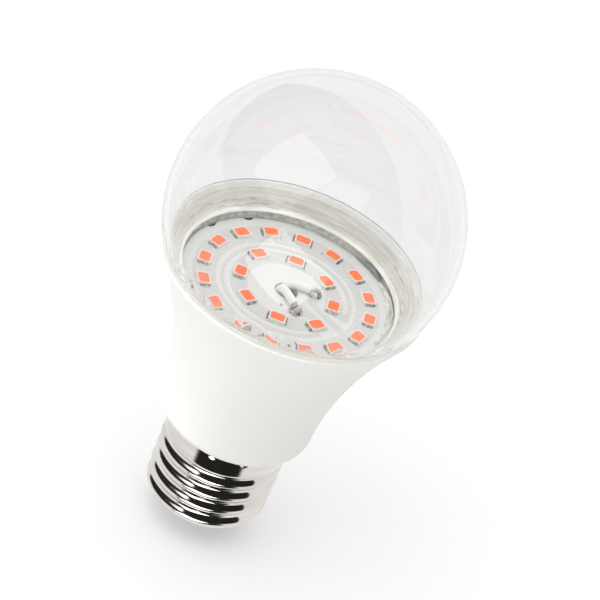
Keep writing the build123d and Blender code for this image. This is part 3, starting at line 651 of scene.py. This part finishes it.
# The air pocket shows the bare aluminium, in a darker grey than the cup's own finish: the darkness is painted
# shade of the pocket.
bare_wall_painted_shade = finish("bare_wall_painted_shade", (0.3, 0.33, 0.345), (0.19, 0.21, 0.22), rough=(0.2, 0.35), metal=0.5,
                   squeeze=(1, 1, 3), broad=300.0, fine=1200.0, relief=0.3, depth=0.05 * mm)
lens_turn = np.radians(np.linspace(60.0, 82.0, 48))
lens_height = 1.45 * mm * np.sin(np.pi * np.linspace(0, 1, 48) ** 0.75)
lens_radius = pocket_radius - 0.06 * mm + 0 * lens_turn
lens_rows = [round_axis(lens_radius, board_top_z + 0.16 * mm + lens_height * share, lens_turn)
             for share in np.linspace(1, 0, 6)]
grid_piece("air_pocket", np.stack(lens_rows), bare_wall_painted_shade, around=False)


# Globe: clear blown shell, a truncated ball with a shoulder on the seam. Its skirt runs down
# inside the rim, and where the two meet the wall thickens and its inside is a little uneven.
def arc(centre_z, radius, start, end, count):
    """Part of a circle about a point on the axis, as (radius, height) rows, by elevation in degrees."""
    angle = np.radians(np.linspace(start, end, count))
    return np.stack([radius * np.cos(angle), centre_z + radius * np.sin(angle)], -1)


globe_radius = globe_high.x
globe_wall = 1.3 * mm
globe_centre_z = globe_high.z - globe_radius
bore = globe_radius - globe_wall
blend_height = 1.0 * mm
blend_pull = 0.4 * mm
skirt_rounding = 0.3 * mm
shoulder_rounding = 0.25 * mm
shoulder_angle = -np.degrees(np.arcsin((globe_centre_z - shoulder_z) / globe_radius))
blend_angle = -np.degrees(np.arcsin((globe_centre_z - shoulder_z - blend_height) / bore))
ball = arc(globe_centre_z, globe_radius, shoulder_angle + 0.6, 90, 76)
shoulder_corner = arc(globe_centre_z, globe_radius, shoulder_angle, shoulder_angle, 1)[0]
skirt_foot_z = globe_low.z + skirt_rounding
skirt_out = flare(skirt_outer_inset, np.linspace(skirt_foot_z, shoulder_z - 0.35 * mm, 24))
skirt_in = flare(skirt_inner_inset, np.linspace(shoulder_z, skirt_foot_z, 24))
skirt_root = flare_point(skirt_outer_inset, shoulder_z)
skirt_foot_out = flare_point(skirt_outer_inset, globe_low.z)
skirt_foot_in = flare_point(skirt_inner_inset, globe_low.z)
bore_arc = arc(globe_centre_z, bore, 90, blend_angle, 84)
bore_fall = np.array([np.sin(np.radians(blend_angle)), -np.cos(np.radians(blend_angle))])
skirt_fall = -np.array([np.sin(rim_angle), np.cos(rim_angle)])
thick_blend = bezier([bore_arc[-1], bore_arc[-1] + blend_pull * bore_fall,
                      skirt_in[0] - blend_pull * skirt_fall, skirt_in[0]], 16)
globe_profile = np.concatenate([
    rounded(skirt_foot_in, skirt_in[-1], skirt_foot_out, skirt_rounding, 6),
    rounded(skirt_foot_out, skirt_foot_in, skirt_out[0], skirt_rounding, 6), skirt_out[1:],
    rounded(skirt_root, skirt_out[-1], shoulder_corner, skirt_rounding, 6),
    rounded(shoulder_corner, skirt_root, ball[0], shoulder_rounding, 6), ball[1:],
    bore_arc, thick_blend[1:], skirt_in[1:-1]])
bore_rows = len(bore_arc) + len(thick_blend) + len(skirt_in) - 3
on_bore = np.zeros((len(globe_profile), 1))
on_bore[-bore_rows:] = 1.0
bore_waves = ((26, 0.06, 0.3), (39, -0.11, 2.1), (55, 0.15, 4.4), (17, 0.2, 1.3))
bore_unevenness = 0.14 * mm
step_z = shoulder_z + 0.9 * mm
step_band = 2.2 * mm
near_step = on_bore * np.exp(-((globe_profile[:, 1:] - step_z) / step_band) ** 2)
globe_turn = circle(384)
uneven = bore_unevenness * near_step * ripple(globe_turn, globe_profile[:, 1:] - step_z, bore_waves)
globe_points = round_axis(globe_profile[:, :1] + uneven, globe_profile[:, 1:], globe_turn)
clear_shell = bpy.data.materials.new("clear_shell")
clear_shell.use_nodes = True
tree = clear_shell.node_tree
shader = tree.nodes["Principled BSDF"]
shader.inputs["Base Color"].default_value = (0.916, 0.918, 0.918, 1.0)
shader.inputs["Transmission Weight"].default_value = 1.0
shader.inputs["Roughness"].default_value = 0.0
shader.inputs["IOR"].default_value = 1.49
lamp_ray = tree.nodes.new("ShaderNodeLightPath")
clear = tree.nodes.new("ShaderNodeBsdfTransparent")
clear.inputs["Color"].default_value = (0.97, 0.97, 0.97, 1.0)
either = tree.nodes.new("ShaderNodeMixShader")
tree.links.new(lamp_ray.outputs["Is Shadow Ray"], either.inputs["Fac"])
tree.links.new(shader.outputs["BSDF"], either.inputs[1])
tree.links.new(clear.outputs["BSDF"], either.inputs[2])
tree.links.new(either.outputs["Shader"], tree.nodes["Material Output"].inputs["Surface"])
globe = grid_piece("blown_globe", globe_points, clear_shell, closed=True)
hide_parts("globe")

# Floor: a pale sheet under the bulb that glows like a light table, so that the shadow on it
# stays soft and faint. It is stage, not part of the bulb.
floor_radius = 3.0
floor_corners = 96
floor_mesh = bpy.data.meshes.new("floor")
floor_rim = round_axis(np.array([[floor_radius]]), np.zeros((1, 1)), circle(floor_corners))[0]
floor_mesh.from_pydata(floor_rim.tolist(), [], [list(range(floor_corners))])
pale_floor = finish("pale_floor", (0.43, 0.43, 0.43), (0.42, 0.42, 0.42), rough=(0.6, 0.7), broad=20.0,
                    fine=400.0)
glow(pale_floor, (1.0, 1.0, 1.0), 0.45)
floor_mesh.materials.append(pale_floor)
floor = bpy.data.objects.new("floor", floor_mesh)
floor.visible_glossy = False
bpy.context.scene.collection.objects.link(floor)

# Camera: a long lens that looks down on the bulb from its front. It is rolled, so that the
# upright bulb leans in the picture.
camera_place = Vector((156.7, -427.1, 391.6)) * mm
camera_aim = Vector((3.7, -0.7, 62.5)) * mm
camera_roll = np.radians(22.70)
camera_data = bpy.data.cameras.new("camera")
camera_data.lens = 168.82
camera_data.sensor_width = 36.0
camera_data.clip_start = 0.01
camera = bpy.data.objects.new("camera", camera_data)
bpy.context.scene.collection.objects.link(camera)
look = (camera_aim - camera_place).to_track_quat("-Z", "Y").to_matrix().to_4x4()
camera.matrix_world = Matrix.Translation(camera_place) @ look @ Matrix.Rotation(camera_roll, 4, "Z")
bpy.context.scene.camera = camera


# Lights: a softbox in front and one low down, whose shapes the globe and the cap mirror, a strip
# at the side and a broad fill overhead. None of them shows through the clear globe.
def towards(azimuth, elevation):
    """The direction at an azimuth and an elevation, in degrees."""
    turn, lift = np.radians(azimuth), np.radians(elevation)
    return Vector((np.cos(lift) * np.cos(turn), np.cos(lift) * np.sin(turn), np.sin(lift)))


def softbox(name, stands, faces, distance, size, radiance, hidden_from, roll=0.0):
    """A square-edged soft light that stands off the globe in one direction and is square to another.

    Both directions are (azimuth, elevation) in degrees, and its power is its radiance times pi
    times its area. The rays that it is hidden from don't meet it.
    """
    lamp = bpy.data.lights.new(name, "AREA")
    lamp.shape = "RECTANGLE"
    lamp.size, lamp.size_y = size
    lamp.energy = radiance * np.pi * size[0] * size[1]
    place = Vector((0, 0, globe_centre_z)) + distance * towards(*stands)
    light = bpy.data.objects.new(name, lamp)
    facing = (-towards(*faces)).to_track_quat("-Z", "Y").to_matrix().to_4x4()
    light.matrix_world = Matrix.Translation(place) @ facing @ Matrix.Rotation(np.radians(roll), 4, "Z")
    bpy.context.scene.collection.objects.link(light)
    for ray in hidden_from:
        setattr(light, f"visible_{ray}", False)


softbox("front_softbox", (-126.9, 52.1), (-98.2, 58.5), 0.9, (0.76, 0.76), 1.5,
        ("camera", "transmission"), roll=-13.3)
softbox("low_softbox", (-77.8, -10.6), (-65.8, 1.6), 0.9, (0.82, 0.72), 3.0,
        ("camera", "transmission", "diffuse"), roll=-25.8)
softbox("side_strip", (-43.3, 61.4), (-44.1, 3.6), 0.9, (0.518, 0.373), 1.0,
        ("camera", "transmission"), roll=-33.6)
softbox("overhead_fill", (0.0, 90.0), (0.0, 90.0), 1.6, (2.6, 2.6), 1.25,
        ("camera", "glossy", "transmission"))

# Room: pale walls round the floor, brighter on one side, and even behind the clear globe. What
# mirrors the room sees it dark overhead and on the side that the picture is taken from.
room = bpy.data.worlds.new("room")
bpy.context.scene.world = room
room.use_nodes = True
tree = room.node_tree
direction = tree.nodes.new("ShaderNodeTexCoord")


def facing_share(way):
    """How far each direction in the room runs along a way, from -1 to 1: their dot product."""
    share = tree.nodes.new("ShaderNodeVectorMath")
    share.operation = "DOT_PRODUCT"
    share.inputs[1].default_value = way
    tree.links.new(direction.outputs["Generated"], share.inputs[0])
    return share.outputs["Value"]


def fade(source, start, end, low=0.0, high=1.0):
    """A value that runs straight from low to high as its source runs from start to end, then holds."""
    ramp = tree.nodes.new("ShaderNodeMapRange")
    for socket, value in (("From Min", start), ("From Max", end), ("To Min", low), ("To Max", high)):
        ramp.inputs[socket].default_value = value
    tree.links.new(source, ramp.inputs["Value"])
    return ramp.outputs["Result"]


def combine(operation, first, second):
    """Two values put together by one operation, held between 0 and 1."""
    both = tree.nodes.new("ShaderNodeMath")
    both.operation = operation
    both.use_clamp = True
    tree.links.new(first, both.inputs[0])
    tree.links.new(second, both.inputs[1])
    return both.outputs[0]


below = fade(facing_share((0.0, 0.0, 1.0)), 0.17, 0.13)
backdrop_side = fade(facing_share((0.334, 0.92, -0.203)), 0.347, 0.377)
beyond_camera = fade(facing_share(towards(-63.0, -20.0)), 0.76, 0.70)
mirrored_pale = combine("MULTIPLY", combine("MAXIMUM", below, backdrop_side), beyond_camera)
mirrored_light = fade(mirrored_pale, 0.0, 1.0, 0.02, 1.0)
room_light = fade(facing_share(towards(-160.0, 12.0)), -1.0, 1.0, 0.1, 1.1)
ray_kind = tree.nodes.new("ShaderNodeLightPath")
through_globe = ray_kind.outputs["Is Transmission Ray"]
mirrored_ray = combine("SUBTRACT", ray_kind.outputs["Is Glossy Ray"], through_globe)
backdrop = tree.nodes.new("ShaderNodeMix")
backdrop.inputs["B"].default_value = 1.0
tree.links.new(through_globe, backdrop.inputs["Factor"])
tree.links.new(room_light, backdrop.inputs["A"])
seen = tree.nodes.new("ShaderNodeMix")
tree.links.new(mirrored_ray, seen.inputs["Factor"])
tree.links.new(backdrop.outputs["Result"], seen.inputs["A"])
tree.links.new(mirrored_light, seen.inputs["B"])
tree.links.new(seen.outputs["Result"], tree.nodes["Background"].inputs["Strength"])
tree.nodes["Background"].inputs["Color"].default_value = (1.0, 1.0, 1.0, 1.0)
bpy.context.scene.view_settings.view_transform = "Standard"
